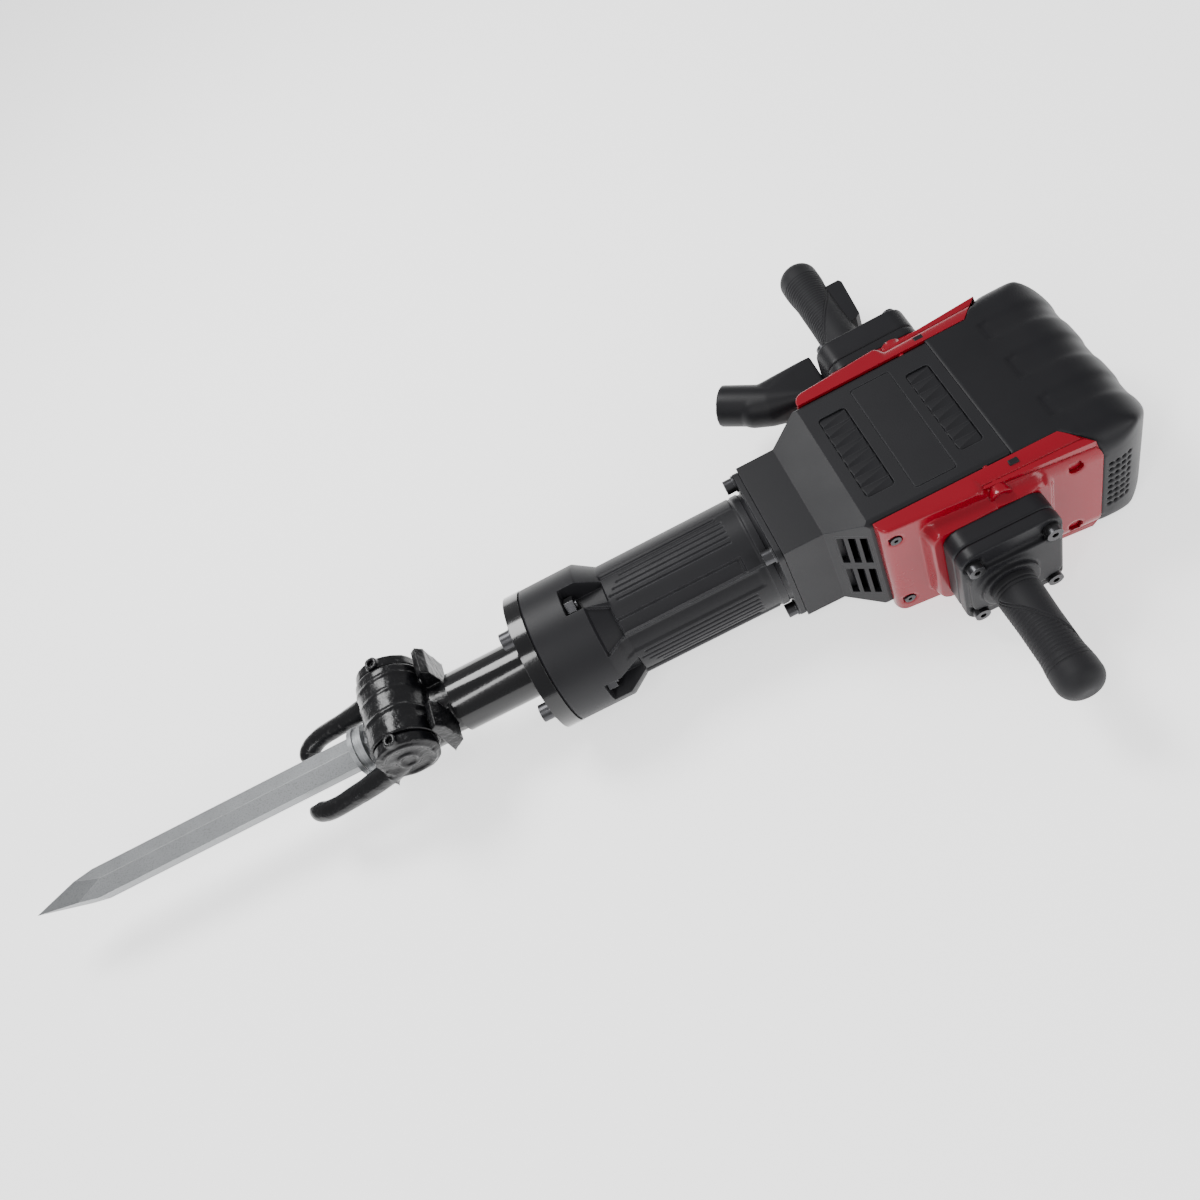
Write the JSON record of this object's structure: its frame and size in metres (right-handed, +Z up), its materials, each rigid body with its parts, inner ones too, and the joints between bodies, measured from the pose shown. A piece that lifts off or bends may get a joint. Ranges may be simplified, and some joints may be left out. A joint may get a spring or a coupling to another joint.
{
  "type": "electric breaker hammer",
  "caption": "Electric breaker hammer with a hexagonal bull point chisel, U-shaped tool latch, charcoal barrel and body, red side covers and two side handles",
  "frame": {"origin": "On the resting surface, under the crossing of the tool axis and the handle axis", "axes": "+X along the tool axis from the chisel towards the motor, +Y along the handles towards the switch handle, +Z up"},
  "size_m": [1.069, 0.518, 0.128],
  "materials": {
    "chisel_steel": "matte",
    "black_casting": "gloss",
    "gloss_black_metal": "gloss",
    "charcoal_casting": "satin",
    "red_shell": "gloss",
    "black_plastic": "matte",
    "grip_rubber": "matte",
    "dark_fastener": "satin",
    "machine_steel": "satin",
    "bronze": "satin",
    "copper_winding": "satin"
  },
  "bodies": {
    "body": {"tool_holder": "black_casting", "nose_sleeve": "gloss_black_metal", "shank_bushing": "bronze", "front_seal": "grip_rubber", "front_flange": "gloss_black_metal", "flange_bolts": "dark_fastener", "flange_nuts": "dark_fastener", "barrel_housing": "charcoal_casting", "bolt_bushing": "bronze", "stop_ring": "machine_steel", "cylinder": "machine_steel", "crank_bearings": "machine_steel", "intermediate_bearings": "machine_steel", "armature_bearings": "machine_steel", "stator": "machine_steel", "field_coils": "copper_winding", "motor_housing": "charcoal_casting", "brush_holders": "bronze", "carbon_brushes": "black_plastic", "bearing_frame": "charcoal_casting", "bearing_plate": "charcoal_casting", "gear_housing": "charcoal_casting", "neck_bolts": "dark_fastener", "side_grilles": "black_plastic", "right_cover": "red_shell", "left_cover": "red_shell", "cover_screws": "dark_fastener", "rear_cap": "black_plastic", "right_spacer": "black_plastic", "right_handle": "black_plastic", "right_grip": "grip_rubber", "left_spacer": "black_plastic", "left_handle": "black_plastic", "left_grip": "grip_rubber", "handle_screws": "dark_fastener", "trigger_pin": "machine_steel", "switch_block": "black_plastic", "cable_guard": "black_plastic"},
    "chisel": {"chisel": "chisel_steel"},
    "latch": {"latch": "black_casting", "latch_pin": "machine_steel", "latch_set_screws": "dark_fastener"},
    "impact_bolt": {"impact_bolt": "machine_steel"},
    "striker": {"striker": "machine_steel", "striker_rings": "grip_rubber"},
    "piston": {"piston": "machine_steel", "piston_ring": "grip_rubber"},
    "connecting_rod": {"connecting_rod": "machine_steel", "rod_bearing": "bronze", "wrist_pin": "machine_steel"},
    "crank": {"crankshaft": "machine_steel", "crank_gear": "machine_steel"},
    "intermediate": {"intermediate_shaft": "machine_steel", "intermediate_gear": "machine_steel"},
    "armature": {"armature_shaft": "machine_steel", "armature_core": "machine_steel", "armature_windings": "copper_winding", "commutator": "copper_winding", "cooling_fan": "black_plastic"},
    "trigger": {"trigger": "black_plastic"}
  },
  "joints": [
    {"name": "chisel_slide", "type": "slide", "parent": "body", "child": "chisel", "axis": [-1, 0, 0], "range_m": [-0.005, 0.038]},
    {"name": "latch_hinge", "type": "hinge", "parent": "body", "child": "latch", "pos_m": [-0.507, 0, 0.089], "axis": [0, -1, 0], "range_deg": [0, 85]},
    {"name": "impact_bolt_slide", "type": "slide", "parent": "body", "child": "impact_bolt", "axis": [1, 0, 0], "range_m": [0, 0.01]},
    {"name": "striker_slide", "type": "slide", "parent": "body", "child": "striker", "axis": [-1, 0, 0], "range_m": [0, 0.018]},
    {"name": "piston_slide", "type": "slide", "parent": "body", "child": "piston", "axis": [-1, 0, 0], "range_m": [0, 0.04]},
    {"name": "crank_spin", "type": "hinge", "parent": "body", "child": "crank", "pos_m": [-0.038, 0, 0.064], "axis": [0, 1, 0], "continuous": true},
    {"name": "rod_pivot", "type": "hinge", "parent": "crank", "child": "connecting_rod", "pos_m": [-0.018, 0, 0.064], "axis": [0, 1, 0], "continuous": true},
    {"name": "intermediate_spin", "type": "hinge", "parent": "body", "child": "intermediate", "pos_m": [0.03075, 0, 0.064], "axis": [0, 1, 0], "continuous": true},
    {"name": "armature_spin", "type": "hinge", "parent": "body", "child": "armature", "pos_m": [0.07975, 0, 0.064], "axis": [0, 1, 0], "continuous": true},
    {"name": "trigger_press", "type": "hinge", "parent": "body", "child": "trigger", "pos_m": [0.014, 0.182, 0.064], "axis": [0, 0, 1], "range_deg": [0, 6], "stiffness_Nm_per_rad": 2, "springref_deg": -6.88}
  ],
  "couplings": [
    {"joint": "rod_pivot", "follows": "crank_spin", "ratio": -1},
    {"joint": "intermediate_spin", "follows": "crank_spin", "ratio": -3.2308},
    {"joint": "armature_spin", "follows": "crank_spin", "ratio": 14.862}
  ]
}
